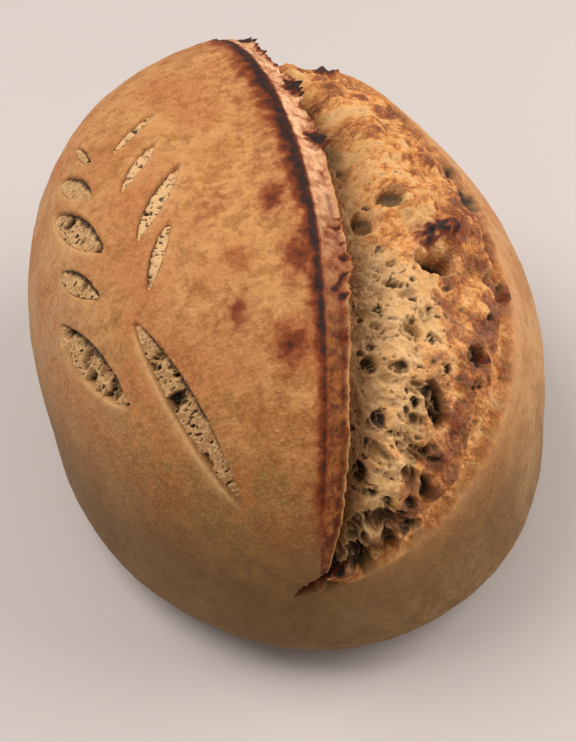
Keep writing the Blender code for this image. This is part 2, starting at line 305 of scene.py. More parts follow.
def with_flat_foot(points):
    height = points[:, 2]
    turning = np.clip(height + FOOT_EDGE, 0.0, 2 * FOOT_EDGE) ** 2 / (4 * FOOT_EDGE)
    points[:, 2] = np.where(height > FOOT_EDGE, height, turning)
    return points


def ear_tabs(along):
    return sum(size * bump(place, TAB_SHARE, along) for place, size in EAR_TABS)


def ledge_front(share):
    """Where the ledge of the torn face starts, as a share of the way along the tear."""
    return 0.42 - 0.16 * np.clip(share, 0.0, 0.5)


def ear_hollow(share):
    """How deep the crumb lies under the ear."""
    return HOLLOW_DEPTH * (1 - smooth_step(0.0, 0.34, share))


def crumb_height(share, along, crags):
    """The torn surface between the hollow under the ear (share 0) and the lower lip (share 1)."""
    bulge = CRUMB_BULGE * np.sin(np.pi * np.clip(share, 0, 1)) * (0.6 + 0.8 * bump(0.55, 0.17, along))
    front = ledge_front(share)
    ledge = LEDGE_HEIGHT * smooth_step(front - 0.02, front, along) * smooth_step(0.1, 0.35, share)
    ledge = ledge * (1 - smooth_step(0.75, 1.0, share)) * (1 - smooth_step(0.6, 0.85, along))
    trough = -0.003 * bump(0.93, 0.08, share) * (1 - smooth_step(1.0, 1.05, share))
    window = smooth_step(0.0, 0.15, share) * (1 - smooth_step(0.88, 1.0, share))
    settled = -BACK_SETTLE * smooth_step(0.42, 0.66, along) * smooth_step(0.0, 0.2, share)
    settled = settled * (1 - smooth_step(0.7, 1.0, share)) * (1 - smooth_step(0.85, 1.0, along))
    return -ear_hollow(share) + bulge + ledge + trough + settled + CRAG_HEIGHT * crags * window


def scatter(cell, seed):
    """Five even random numbers from 0 to 1 for each whole-numbered cell, always the same ones."""
    x, y, z = (cell[:, axis].astype(np.int64) for axis in range(3))
    key = (x * 73856093 ^ y * 19349663 ^ z * 83492791 ^ seed * 2654435761) & 0xFFFFFFFF
    drawn = []
    for _ in range(6):
        key = (key * 1664525 + 1013904223) & 0xFFFFFFFF
        key = key ^ (key >> 15)
        drawn.append((key & 0xFFFFFF) / float(0x1000000))
    return drawn[1:]


def bubbles(point, out, size, seed, small, large, filled, steep):
    """Round bubbles in the dough, cut open by the torn surface: how deep each point lies in one, in metres,
    how dark painted shade makes it in there, and how near a rim it is. Radii are shares of their spacing,
    and the walls are steeper the smaller the last number is."""
    spot = point / size
    depth, dark, rim = np.zeros(len(point)), np.zeros(len(point)), np.full(len(point), 9.0)
    for step in range(27):
        cell = np.floor(spot) + np.array([step % 3, step // 3 % 3, step // 9]) - 1
        *shift, grade, chance = scatter(cell, seed)
        radius = np.where(chance < filled, small + (large - small) * grade**2, 0.0)
        away = spot - cell - np.stack(shift, axis=1)
        rise = (away * out).sum(axis=1)
        across = np.sqrt(np.clip((away**2).sum(axis=1) - rise**2, 0.0, None))
        opening = np.sqrt(np.clip(radius**2 - rise**2, 0.0, None))
        part = across / np.maximum(opening, 1e-6)
        dish = np.clip(1 - part**2, 0.0, None) ** steep
        floor = np.minimum(radius + rise, 1.5 * opening)
        depth = np.maximum(depth, floor * dish)
        within = (1 - smooth_step(1 - 0.6 * steep, 1.0, part)) * (opening > 0)
        dark = np.maximum(dark, within * np.clip(0.5 + 0.6 * rise / np.maximum(radius, 1e-6), 0, 1))
        rim = np.where(opening > 0, np.minimum(rim, np.abs(across - opening)), rim)
    return depth * size, dark, rim * size


def open_crumb(point, out, sizes, steep, rim_width):
    """Layers of bubbles of several sizes: how deep, how dark with painted shade, and how near a rim each
    point is.
    """
    pits, dark, rims = np.zeros(len(point)), np.zeros(len(point)), np.zeros(len(point))
    for size, seed, small, large, filled, amount in sizes:
        deep, shade, rim = bubbles(point, out, size, seed, small, large, filled, steep)
        pits = pits + deep * amount
        dark = np.maximum(dark, shade * amount)
        rims = np.maximum(rims, np.exp(-((rim / rim_width) ** 2)))
    return pits, dark, rims


def patch(point, place, angle, length, width, turn):
    """How far each point lies from a place on the skin, 1 on the edge of an oval round it, and how
    far it leans to the right and ahead, in lengths of the oval."""
    middle, out, right = skin_frame(toward(place, angle))
    ahead = np.cross(out, right)
    lengthways = right * math.cos(math.radians(turn)) + ahead * math.sin(math.radians(turn))
    offset = point - middle
    aside = offset @ np.cross(out, lengthways) / (width / 2)
    apart = np.hypot(offset @ lengthways / (length / 2), aside)
    return np.hypot(apart, offset @ out / length), offset @ (right + ahead) / length


def web_of(point, size, seed):
    """Thin strands that part the crumb, 1 along each strand."""
    return np.exp(-((rough(point, size, seed) / 0.075) ** 2))


def keep_measures(piece, **measures):
    """Keeps measures of the surface on the mesh, for its material."""
    for name, values in measures.items():
        kept = piece.data.attributes.new(name, "FLOAT", "POINT")
        kept.data.foreach_set("value", values.astype(np.float32))


def places_of(piece):
    flat = np.zeros(len(piece.data.vertices) * 3)
    piece.data.vertices.foreach_get("co", flat)
    return flat.reshape(-1, 3)


def move_to(piece, places):
    piece.data.vertices.foreach_set("co", np.ascontiguousarray(places, dtype=np.float32).ravel())
    piece.data.update()


def crust_relief(point):
    """The soft unevenness of the baked skin, the same on both pieces."""
    swell = SKIN_LUMP * rough(point, SKIN_LUMP_SIZE, 3)
    ripple = 0.00028 * rough(point, 0.0095, 11) + 0.00012 * rough(point, 0.0032, 12)
    return swell + ripple


def crust_stops(along):
    """The angle where each zone of the crust piece ends, for each share of the way."""
    crest = crest_angle(along)
    edge = crest - cut_face_angle(along)
    lip = lower_lip_angle(along)
    foot_right = np.maximum(foot_angle(along, 0.0), STRAIGHT_DOWN + 3.0)
    foot_left = np.minimum(foot_angle(along, LEVEL_LEFT), STRAIGHT_DOWN - 3.0)
    stops = [crest, edge, edge - 1.5, lip - SEAM + 2.0, foot_right, foot_left]
    return stops + [np.full_like(along, DOME_START), crest - 360.0]


def cut_frame(start, end):
    """A score cut's own axes: start point, way along it, way across it, way out, and length."""
    first, last = body(toward(*start)), body(toward(*end))
    middle = unit(toward(*start) + toward(*end))
    _, out, _ = skin_frame(middle)
    along = unit(last - first)
    return first, along, unit(np.cross(out, along)), np.linalg.norm(last - first)


def cut_shape(number, width, way):
    """Half the width of a score cut along its way, and how far its middle bows out."""
    bow = LONG_CUT_BOW if number == len(WHEAT_CUTS) - 1 else 0.0
    return width / 2 * np.sin(np.pi * way) ** CUT_FULLNESS * 1.05, bow * np.sin(np.pi * way)


def cut_path(start, end, first, along, across, length):
    """How a cut's middle line strays sideways from its straight way, as it follows the skin."""
    steps = np.linspace(0.0, 1.0, 25)
    middle = body(unit(toward(*start) + (toward(*end) - toward(*start)) * steps[:, None])) - first
    return middle @ along / length, middle @ across


def cut_fields(point):
    """For each point of the skin: how deep it lies in a score cut, and how near it is to the raised
    flap on one side of a cut and to the pale lip on the other."""
    depth = np.zeros(len(point))
    flap = np.zeros(len(point))
    lip = np.zeros(len(point))
    for number, (start, end, width, deep, side) in enumerate(WHEAT_CUTS):
        first, along, across, length = cut_frame(start, end)
        near = np.linalg.norm(point - (first + along * length / 2), axis=1) < length
        way = (point[near] - first) @ along / length
        inside = np.clip(way, 0.0, 1.0)
        passed, strayed = cut_path(start, end, first, along, across, length)
        aside = (point[near] - first) @ across - cut_shape(number, width, inside)[1]
        aside = aside - np.interp(way, passed, strayed)
        inside = np.interp(inside, passed, np.linspace(0.0, 1.0, 25))
        half, _ = cut_shape(number, width, inside)
        part = aside / np.maximum(half, 1e-6)
        hollow = np.where(half > 0.0002, 1 - smooth_step(0.80, 1.10, np.abs(part)), 0.0)
        depth[near] = np.maximum(depth[near], hollow * deep * np.minimum(half / width * 3, 1.0))
        outside = np.clip(np.abs(aside) - half, 0.0, None)
        beside = np.exp(-outside / 0.0020) * smooth_step(-0.02, 0.15, way) * smooth_step(1.02, 0.85, way)
        beside = beside * (1 - hollow) * min(1.0, (width / 0.009) ** 2)
        upper = aside * side > 0
        flap[near] = np.maximum(flap[near], np.where(upper, beside, 0.0))
        lip[near] = np.maximum(lip[near], np.where(upper, 0.0, beside))
    return depth, flap, lip


def crack_at(point):
    """How deep each point lies in the crack at the front tip of the tear, from 0 to 1. The same measure
    paints the crack black, as painted shadow.
    """
    start, end, width, _ = FRONT_CRACK
    first, along, across, length = cut_frame(start, end)
    way = np.clip((point - first) @ along / length, 0.0, 1.0)
    half = width / 2 * np.sin(np.pi * way) ** 0.6 * (1 + 0.35 * rough(point, 0.003, 71))
    off = np.linalg.norm(point - first - along * (way * length)[:, None], axis=1)
    part = np.abs((point - first) @ across) / np.maximum(half, 1e-6)
    return 1 - smooth_step(0.55, 1.0, part + 3 * (off > 0.012))


def closed_sheet(name, columns, rows):
    """A flat grid whose rim is drawn to one point behind it, so that it closes."""
    bpy.ops.object.select_all(action="DESELECT")
    bpy.ops.mesh.primitive_grid_add(x_subdivisions=columns, y_subdivisions=rows, size=2.0)
    sheet = bpy.context.object
    sheet.name = name
    bpy.ops.object.mode_set(mode="EDIT")
    bpy.ops.mesh.select_all(action="SELECT")
    bpy.ops.mesh.region_to_loop()
    bpy.ops.mesh.extrude_edges_move()
    bpy.ops.mesh.merge(type="CENTER")
    bpy.ops.object.mode_set(mode="OBJECT")
    return sheet


def face_outward():
    """Turns the faces of the piece in hand outward and shades them smooth."""
    bpy.ops.object.mode_set(mode="EDIT")
    bpy.ops.mesh.select_all(action="SELECT")
    bpy.ops.mesh.normals_make_consistent(inside=False)
    bpy.ops.object.mode_set(mode="OBJECT")
    bpy.ops.object.shade_smooth()


def beyond_lip(along, angle):
    """How far round the loaf an angle lies past the lower lip, in metres, or 0 before it."""
    reach = LOAF_WIDTH / 2 * np.sin(np.pi * along) * np.radians(lower_lip_angle(along) - angle)
    return np.clip(reach, 0.0, None)


def middle_of(places):
    """The middle of a piece in plan, at the height of the table."""
    return (places.min(axis=0) + places.max(axis=0)) / 2 * np.array([1.0, 1.0, 0.0])


def make_crust():
    """The whole crust with the ear, as one closed skin that dips under the torn crumb."""
    bpy.ops.object.select_all(action="DESELECT")
    columns_all = CRUST_ZONES[-1][1]
    bpy.ops.mesh.primitive_uv_sphere_add(segments=columns_all, ring_count=CRUST_RINGS, radius=1.0)
    piece = bpy.context.object
    piece.name = "crust"
    start = places_of(piece)
    along = 1 - np.arccos(np.clip(start[:, 2], -1, 1)) / np.pi
    columns = np.mod(np.arctan2(start[:, 0], start[:, 1]) / (2 * np.pi), 1.0) * columns_all
    columns = np.mod(np.round(columns), columns_all)

    rings = np.linspace(0.0, 1.0, CRUST_RINGS + 1)
    stops = [np.interp(along, rings, stop) for stop in crust_stops(rings)]
    ends = [0] + [end for _, end in CRUST_ZONES]
    zone = np.clip(np.searchsorted(ends, columns, side="right") - 1, 0, len(CRUST_ZONES) - 1)
    angle, share = np.zeros_like(along), np.zeros_like(along)
    for number in range(len(CRUST_ZONES)):
        here = zone == number
        part = (columns - ends[number]) / (ends[number + 1] - ends[number])
        share = np.where(here, part, share)
        angle = np.where(here, stops[number] + (stops[number + 1] - stops[number]) * part, angle)

    point, out, right = skin_frame(toward(along, angle))
    opened = tear_open(along)
    ring_radius = LOAF_WIDTH / 2 * np.sin(np.pi * along)
    gap = front_gap(along)
    top_half = smooth_step(0.38, 0.5, along)
    jag = (0.0004 + 0.0008 * top_half) * rough(point, 0.011, 4) + 0.5 * ear_tabs(along)
    jag = jag + 0.0004 * rough(point, 0.0045, 5)
    cluster = sum(bump(place, 0.024, along) for place, _ in EAR_TABS) * (0.4 + 0.6 * top_half)
    cluster = np.clip(cluster + 0.3 * np.clip(rough(point, 0.009, 10), 0, 1) * top_half, 0, 1)
    flakes = np.clip(rough(point, 0.0018, 7), 0, None) + np.clip(rough(point, 0.0034, 9) - 0.1, 0, None)
    jag = jag + flakes * (0.0008 + 0.0060 * cluster)
    crack = 0.0009 * rough(point, 0.004, 6) + 0.0006 * rough(point, 0.0018, 8)
    left_of_crest = ring_radius * np.radians(360.0 - np.mod(crest_angle(along) - angle, 360.0))
    rounding = 0.0011 * np.exp(-left_of_crest / 0.0016)
    past_lip = beyond_lip(along, angle)
    lip_rise = LOWER_LIP * np.exp(-past_lip / LIP_FLARE)
    seam = lower_lip_angle(along) - SEAM
    dip = CRUST_DIP * smooth_step(seam - 0.3, seam + 2.0, angle)
    lift = ear_lift(along)
    face = lift - 0.0011 * np.exp(-share * 8) + (EAR_EDGE_LIFT - lift) * share
    face = face + 0.5 * jag * share + crack * smooth_step(0.0, 0.3, share)
    face = face - 0.0012 * np.sin(np.pi * share) + 0.0007 * bump(0.93, 0.09, share)
    under = EAR_EDGE_LIFT * (1 - share) * opened - 2 * HOLLOW_DEPTH * share * gap
    hidden = -2 * HOLLOW_DEPTH - (RECESS_DEPTH - 2 * HOLLOW_DEPTH) * np.sin(np.pi * share)
    hidden = hidden + (2 * HOLLOW_DEPTH - 0.002) * smooth_step(0.6, 1.0, share)
    ridge = lift * np.exp(-left_of_crest / EAR_FLARE) - rounding
    shapes = {
        "cut_face": face * opened,
        "undercut": under + 0.5 * jag * (1 - share) * opened,
        "recess": hidden * gap,
        "right_side": (lip_rise - dip) * opened,
        "dome": (ridge + crack * np.exp(-left_of_crest / 0.002)) * opened,
    }
    under_ear = UNDERCUT * np.sin(np.pi * np.minimum(share * 1.5, 0.7))
    shifts = {
        "cut_face": jag * share * opened,
        "undercut": jag * (1 - share) * opened - under_ear * gap,
    }
    height = crust_relief(point)
    aside = np.zeros_like(along)
    for number, (name, _) in enumerate(CRUST_ZONES):
        here = zone == number
        height = height + here * shapes.get(name, 0.0)
        aside = aside + here * shifts.get(name, 0.0)
    depth, flap, pale_lip = cut_fields(point)
    crack_dark = crack_at(point)
    height = height - 1.25 * depth + 0.0005 * flap + 0.0012 * pale_lip - FRONT_CRACK[3] * crack_dark
    places = with_flat_foot(point + out * height[:, None] + right * aside[:, None])
    centre = middle_of(places)
    move_to(piece, places - centre)

    wander = 1 + 0.30 * rough(point, 0.014, 24) + 0.30 * rough(point, 0.004, 25)
    spread = (0.0024 + 0.0036 * bump(0.52, 0.20, along)) * wander
    char = 0.90 * np.exp(-(left_of_crest / spread) ** 1.7) + 0.32 * np.exp(-left_of_crest / (2.6 * spread))
    char = np.where(zone == 0, 0.95 * np.exp(-((share / (0.10 * wander)) ** 1.5)), char)
    char = char * smooth_step(0.03, 0.13, along) * (1 - 0.5 * smooth_step(0.75, 0.95, along))
    char = char * (0.72 + 0.28 * smooth_step(0.14, 0.30, along)) * (1 + 0.22 * rough(point, 0.0035, 16))
    edge_char = bump(1.0, 0.18 + 0.14 * rough(point, 0.006, 20), share) * (zone == 0)
    edge_char = edge_char + bump(0.0, 0.35, share) * (zone == 1)
    burnt_edge = top_half * (0.75 + 0.8 * rough(point, 0.005, 21))
    char = np.maximum(char, np.clip(edge_char, 0, 1) * np.clip(burnt_edge, 0, 1))
    frayed = share + 0.22 * rough(point, 0.0035, 17)
    under_edge = (zone == 1) * (1 - smooth_step(0.3, 0.8, share))
    frayed = np.where(zone == 0, smooth_step(0.30, 0.62, frayed), under_edge)
    char = np.maximum(char, 1.05 * frayed * np.clip(1.5 * cluster - 0.25, 0, 1))
    speckle = np.clip(2.4 * (rough(point, 0.0026, 22) + 0.5 * rough(point, 0.007, 19) - 0.12), 0, 1)
    burnt_band = bump(0.285, 0.042, along) * smooth_step(0.1, 0.45, share)
    singed = 0.24 * smooth_step(0.48, 0.66, along) + burnt_band * (0.35 + 0.7 * speckle)
    spotted = (zone == 0) * (0.55 * speckle * (0.2 + 0.8 * share) + singed)
    char = np.maximum(char, spotted * smooth_step(0.05, 0.12, along))
    drift = np.stack([rough(point, 0.007, 26), rough(point, 0.007, 27), rough(point, 0.007, 28)], axis=1)
    drift = 0.0012 * drift + 0.0005 * rough(point, 0.002, 30)[:, None]
    for *oval, strength in BURNS:
        far, _ = patch(point + drift, *oval)
        char = np.maximum(char, strength * np.exp(-(far**1.6) * 1.1) * (1 + 0.25 * rough(point, 0.0025, 23)))
    # Painted shadow: the front crack is blackened together with the real burns
    char = np.maximum(char, 1.15 * crack_dark)
    groove = (zone == 0) * bump(0.70 + 0.06 * rough(point, 0.02, 29), 0.09, share)
    groove = groove * np.clip(0.45 + 1.1 * rough(point, 0.005, 18), 0, 1)
    groove = groove * (1 - smooth_step(0.36, 0.48, along)) * smooth_step(0.03, 0.1, along)
    rim = (zone == 0) * bump(1.0, 0.12, share) + (zone == 1) * bump(0.0, 0.12, share)
    rim = rim * (1 - smooth_step(0.42, 0.52, along))
    keep_measures(
        piece,
        groove=np.clip(groove, 0, 1),
        pale_rim=np.clip(rim, 0, 1),
        shelter=1 - smooth_step(0.20, 0.46, along),
        char=np.clip(char, 0, 1),
        band=(zone <= 1) * 1.0,
        pale_lip=np.clip(pale_lip, 0, 1),
        # Painted shade: the crust darkens as it dips into a score cut
        cut_shade=np.clip(depth / 0.004, 0, 1),
        lip_toast=np.exp(-past_lip / LIP_TOAST) * (zone == 3) * opened,
    )
    bpy.ops.object.shade_smooth()
    return piece, centre


def make_torn_crumb(centre):
    """The torn face of the loaf, from under the ear to just past the lower lip. Its rows are closer
    together in the front half, where the crumb is most open."""
    piece = closed_sheet("torn_crumb", TORN_COLUMNS, TORN_ROWS)
    start = places_of(piece)
    rows = np.interp((start[:, 1] + 1) / 2, (0.0, CLOSE_ROWS, 1.0), (0.0, FRONT_HALF, 1.0))
    along = 0.012 + 0.976 * rows
    way = (start[:, 0] + 1) / 2
    edge = crest_angle(along) - cut_face_angle(along)
    lip = lower_lip_angle(along)
    angle = edge + UNDER_EAR + (lip - SEAM - OVERLAP - edge - UNDER_EAR) * way
    share = (edge - angle) / (edge - lip)
    point, out, _ = skin_frame(toward(along, angle))
    opened = tear_open(along)

    warp = [rough(point, 0.008, seed) for seed in (31, 32, 33)]
    fray = [rough(point, 0.0028, seed) for seed in (37, 38, 39)]
    bent = point + 0.0016 * np.stack(warp, axis=1) + 0.0007 * np.stack(fray, axis=1)
    wavy = point + 0.0015 * np.stack(warp, axis=1)
    pull = unit(np.array(PULL))
    lengthways = bent @ pull
    pulled = bent - 0.30 * lengthways[:, None] * pull
    stringy = bent - 0.82 * lengthways[:, None] * pull

    stray = 0.16 * bump(0.462, 0.052, along)
    torn = smooth_step(-0.05, 0.06, share)
    torn = torn * (1 - smooth_step(0.93, 1.07, share - stray + 0.05 * warp[0] + 0.04 * fray[0]))
    crags = rough(point, CRAG_SIZE, 1) + 0.7 * rough(point, CRAG_SIZE / 2.2, 2)
    lobe_front = ledge_front(share) + 0.012 * warp[1]
    lobe = smooth_step(lobe_front - 0.085, lobe_front - 0.055, along) * smooth_step(0.0, 0.15, share)
    loose = 1 - smooth_step(0.16, 0.24, along)
    right_rim = smooth_step(0.38, 0.68, share + 0.14 * warp[2])

    height = crumb_height(share, along, crags)
    height = height - SIDE_HOLLOW * (bump(0.86, 0.10, share) * bump(0.475, 0.060, along))
    lumps = np.abs(rough(bent, 0.0034, 35))
    height = height + (0.0008 * rough(point, 0.0065, 36) + 0.0011 * (lumps - 0.3)) * torn

    openness = torn * (1 - 0.75 * lobe) * (1 - 0.35 * right_rim * (1 - lobe))
    sizes = (
        (0.0150, 47, 0.20, 0.46, 0.65, loose),
        (0.0085, 41, 0.16, 0.46, 0.70, 0.4 + 0.6 * loose),
        (0.0048, 42, 0.16, 0.47, 0.80, 1.0),
        (0.0027, 43, 0.18, 0.47, 0.85, 1.0 + 0.8 * lobe),
        (0.0016, 44, 0.20, 0.46, 0.80, 0.8 + 1.2 * lobe),
    )
    pits, dark, rims = open_crumb(pulled, out, sizes, 0.4, 0.00030)
    pits, dark, rims = 0.75 * pits * openness, dark * openness, rims * openness
    pocket = np.clip(-1.7 * rough(pulled, 0.0046, 55) - 0.1, 0, 1) * openness * (1 - 0.5 * right_rim)
    pits = pits + 0.0012 * pocket
    # Painted shade in pockets of the crumb
    dark = np.maximum(dark, 0.40 * pocket)
    named, inner = np.zeros_like(height), np.zeros_like(height)
    # Painted shade inside the listed cells, darker to one side
    for *oval, deep, shade in CRUMB_CELLS + SMALL_CELLS:
        apart, leaning = patch(wavy, *oval)
        dish = np.clip(1 - apart**2, 0, None) ** 0.35
        named = np.maximum(named, 0.95 * deep * dish * np.clip(0.9 + 0.5 * leaning, 0.3, 1.3))
        within = 1 - smooth_step(0.78, 1.02, apart)
        inner = np.maximum(inner, 1 - smooth_step(0.95, 1.25, apart))
        dark = np.maximum(dark, shade * within * np.clip(0.95 + 0.9 * leaning, 0.6, 1.3))
        rims = np.maximum(rims, np.exp(-(((apart - 1.06) / 0.09) ** 2)))
    pits = np.maximum(pits, named + 0.4 * pits)
    above_crust = 0.0003 + 0.005 * smooth_step(1.17, 1.02, share) + 0.02 * smooth_step(1.02, 0.95, share)
    pits = np.minimum(pits, above_crust)
    webs = np.maximum(web_of(pulled, 0.0062, 48), 0.8 * web_of(pulled, 0.0030, 49)) * openness
    bridged = webs * np.clip(pits / 0.002, 0, 1)
    pits = pits * (1 - 0.55 * bridged)
    dark = np.clip(dark * (1 - 0.6 * bridged), 0, 1)
    strands = np.abs(rough(stringy, 0.00085, 50))
    fibres = (1 - strands) ** 3 * torn
    grit = rough(point, 0.0013, 46) * torn
    fibres = fibres * (1 - 0.8 * inner)
    height = height - pits + 0.00045 * fibres + 0.00025 * rims + 0.0005 * webs
    height = height + 0.00022 * grit * (1 + lobe) * (1 - 0.7 * inner)
    burnt = np.zeros_like(height)
    for *oval, lift, amount in BURNT_TIPS:
        apart, leaning = patch(point + 0.8 * (bent - point), *oval)
        tip = np.clip(1 - apart**2, 0, None)
        height = height + lift * tip * (1 + 0.9 * fray[1])
        singed = np.exp(-(apart**2) * 1.1) * (1 + 0.5 * fray[2] + 0.8 * grit)
        burnt = np.maximum(burnt, 1.1 * amount * singed * np.clip(0.95 - 0.5 * leaning, 0.4, 1.1))
    crack_dark = crack_at(point)
    height = height - FRONT_CRACK[3] * crack_dark - 0.003 * bump(0.075, 0.03, along) * (share < 0.85)

    past_lip = beyond_lip(along, angle)
    lip_rise = LOWER_LIP * np.exp(-past_lip / LIP_FLARE)
    seam = lip - SEAM
    dip = TORN_DIP * (1 - smooth_step(seam - OVERLAP, seam + 0.3, angle))
    beyond = smooth_step(0.965, 1.03, share - stray)
    height = height * (1 - beyond) + (lip_rise + 0.00005 - dip) * beyond
    total = crust_relief(point) * beyond + height * np.where(height < 0, front_gap(along), opened)
    ends = smooth_step(0.0, 0.02, along - 0.012) * smooth_step(0.0, 0.02, 0.988 - along)
    total = total - 0.002 * (1 - ends)
    places = point + out * total[:, None]
    places[-1] = places[:-1].mean(axis=0) - np.array([0.03, 0.0, 0.05])
    move_to(piece, places - centre)

    golden = smooth_step(0.64, 0.88, share + 0.10 * warp[0] + 0.06 * fray[0]) * (1 - lobe)
    toasted = right_rim * (0.66 - 0.38 * lobe) * (1 - 0.55 * golden) * (1 + 0.5 * warp[2] + 0.4 * fray[0])
    toast = 0.12 + lobe * 0.24 + toasted + 0.02 * loose * (1 - right_rim)
    toast = toast + (0.22 + 0.22 * lobe) * rough(point, 0.013, 52) + 0.14 * crags * torn + 0.24 * warp[1]
    streaks = 0.25 * rough(stringy, 0.0040, 54) + 0.20 * fray[2]
    toast = toast + streaks * (0.6 + 0.5 * np.maximum(lobe, right_rim))
    toast = toast + 0.5 * lobe * (0.30 - lumps) + 0.15 * rims - 0.12 * dark
    # Painted shade in the hollow under the ear and in the cavity at the front tip
    dark = np.maximum(dark, np.clip(ear_hollow(share) / 0.012, 0, 0.45) * torn)
    dark = np.maximum(dark, 0.5 * bump(0.075, 0.028, along) * torn * (share < 0.85) * (1 - 0.5 * webs))
    # Pale webs and fibres of the crumb, with painted highlight on the rims of its cells
    pale = 0.9 * bridged + 0.4 * webs + 0.5 * rims + 0.35 * fibres * (1 - lobe)
    pale = np.clip(pale * (1 - 0.75 * right_rim * (1 - lobe)), 0, 1)
    keep_measures(
        piece,
        torn=torn,
        # Painted shade in cells and hollows, and painted shadow in the front crack
        pore=np.clip(np.maximum(dark, 1.2 * crack_dark), 0, 1) * torn,
        strand=pale * torn,
        toast=np.clip(toast, 0, 1),
        # The front crack's black here is painted shadow; the rest is burnt tips
        char=np.clip(np.maximum(burnt * (1 + 0.3 * fray[1]), 1.1 * crack_dark), 0, 1.2),
        lip_toast=np.exp(-past_lip / LIP_TOAST) * opened * (1 - torn),
    )
    face_outward()
    return piece


def make_score_crumb(number, start, end, width, deep, side, centre):
    """The crumb that shows in one score cut, a narrow almond of open cells."""
    _, _, across, length = cut_frame(start, end)
    piece = closed_sheet(f"score_crumb_{number}", int(width / 0.00028) + 6, int(length / 0.00040))
    grid = places_of(piece)
    way = 0.02 + 0.96 * (grid[:, 1] + 1) / 2
    half, bow = cut_shape(number, width, way)
    aside = grid[:, 0] * half * 1.06 + bow
    onward = way * length
    direction = unit(toward(*start) + (toward(*end) - toward(*start)) * way[:, None])
    point, out, _ = skin_frame(direction)
    upper = grid[:, 0] * side * 0.5 + 0.5
    seat = 0.0005 if width < 0.0078 else 0.0
    height = seat - 0.0006 * upper * min(1.0, deep / 0.004)
    height = height - 0.0006 * (1 - smooth_step(0.0, 0.15, way) * smooth_step(1.0, 0.85, way))
    flat = np.stack([0.6 * aside, 1.3 * onward, 0 * aside + number], axis=1)
    up = np.array([[0.0, 0.0, 1.0]])
    bent = flat + 0.0008 * np.stack([rough(flat, 0.0022, seed) for seed in (66, 67, 68)], axis=1)
    sizes = [
        (min(size, 0.8 * width), seed + 7 * number, small, 0.47, filled, 1.0)
        for size, seed, small, filled in (
            (0.0090, 61, 0.30, 0.95 if width > 0.009 else 0.2),
            (0.0034, 62, 0.24, 0.95),
            (0.0021, 63, 0.24, 0.95),
            (0.0012, 73, 0.24, 0.90),
        )
    ]
    pits, dark, rims = open_crumb(bent, up, sizes, 0.8, 0.00025)
    webs = web_of(bent, 0.0019, 72)
    pits = 0.9 * pits * (1 - 0.5 * webs)
    dark = 1.05 * dark * (1 - 0.4 * webs)
    height = height + 0.0005 * rough(flat, 0.0022, 64) - pits + 0.0001 * rims + 0.0001 * webs
    height = height - 0.0010 * smooth_step(0.90, 1.0, np.abs(grid[:, 0]))
    drop = aside**2 / (2 * 0.11)
    places = point + across * aside[:, None] + out * (height - drop)[:, None]
    places[-1] = places[:-1].mean(axis=0) - skin_frame(unit(toward(*start) + toward(*end)))[1] * 0.012
    move_to(piece, places - centre)
    # Painted shade: the left column of cuts faces away from the light and is darkened
    left_column = 0.34 * (start[1] > 114.0)
    # Painted shadow along the flap side of each cut
    shaded = 0.75 * smooth_step(0.70, 1.0, upper + 0.12 * rough(flat, 0.003, 69))
    dark = np.maximum(1.35 * dark, shaded + left_column * (1 - 0.6 * rims))
    # Pale webs with painted highlight on the rims, less in the shaded left column
    pale = 0.8 * np.maximum(rims, webs) + 0.7 + 0.4 * rough(flat, 0.0016, 70) - 2.0 * left_column
    keep_measures(
        piece,
        pore=np.clip(dark, 0, 1),
        strand=np.clip(pale, 0, 1),
        toast=np.clip(0.04 + 0.2 * rough(flat, 0.004, 65), 0, 1),
    )
    face_outward()
    return piece


# Materials

def colour(code):
    """An sRGB hex colour as linear light."""
    parts = [int(code[place:place + 2], 16) / 255 for place in (1, 3, 5)]
    return tuple(c / 12.92 if c <= 0.04045 else ((c + 0.055) / 1.055) ** 2.4 for c in parts) + (1.0,)


def add(tree, kind, values=None, **settings):
    """Adds one node: settings are its own fields, and values fill its inputs or link to them."""
    made = tree.nodes.new("ShaderNode" + kind)
    for name, value in settings.items():
        setattr(made, name, value)
    for name, value in (values or {}).items():
        if isinstance(value, bpy.types.NodeSocket):
            tree.links.new(value, made.inputs[name])
        else:
            made.inputs[name].default_value = value
    return made


FACTOR, FIRST, SECOND, MIXED = 0, 6, 7, 2  # the sockets of a colour mix


def laid_over(tree, tone, second, measure, start=0.0, full=1.0, strength=1.0, region=1.0,
              growth="LINEAR"):
    """Lays a second tone over the first one, more of it as a measure goes from start to full, and
    only in a region. A measure given by name is one that the mesh holds."""
    if isinstance(measure, str):
        measure = add(tree, "Attribute", attribute_name=measure).outputs["Fac"]
    second = colour(second) if isinstance(second, str) else second
    amount = add(tree, "MapRange", {"Value": measure, "From Min": start, "From Max": full,
                                    "To Max": strength}, interpolation_type=growth).outputs[0]
    amount = add(tree, "Math", {0: amount, 1: region}, operation="MULTIPLY").outputs[0]
    return add(tree, "Mix", {FACTOR: amount, FIRST: tone, SECOND: second},
               data_type="RGBA").outputs[MIXED]


def blank(name):
    made = bpy.data.materials.new(name)
    made.use_nodes = True
    tree = made.node_tree
    return made, tree, tree.nodes["Principled BSDF"]


def swayed(tree, value, cause, swing):
    """Lets a value rise and fall by a swing, as a noise goes from its low to its high places."""
    sway = add(tree, "MapRange", {"Value": cause, "From Min": 0.3, "From Max": 0.7,
                                  "To Min": -swing, "To Max": swing}).outputs[0]
    return add(tree, "Math", {0: value, 1: sway}, operation="ADD").outputs[0]


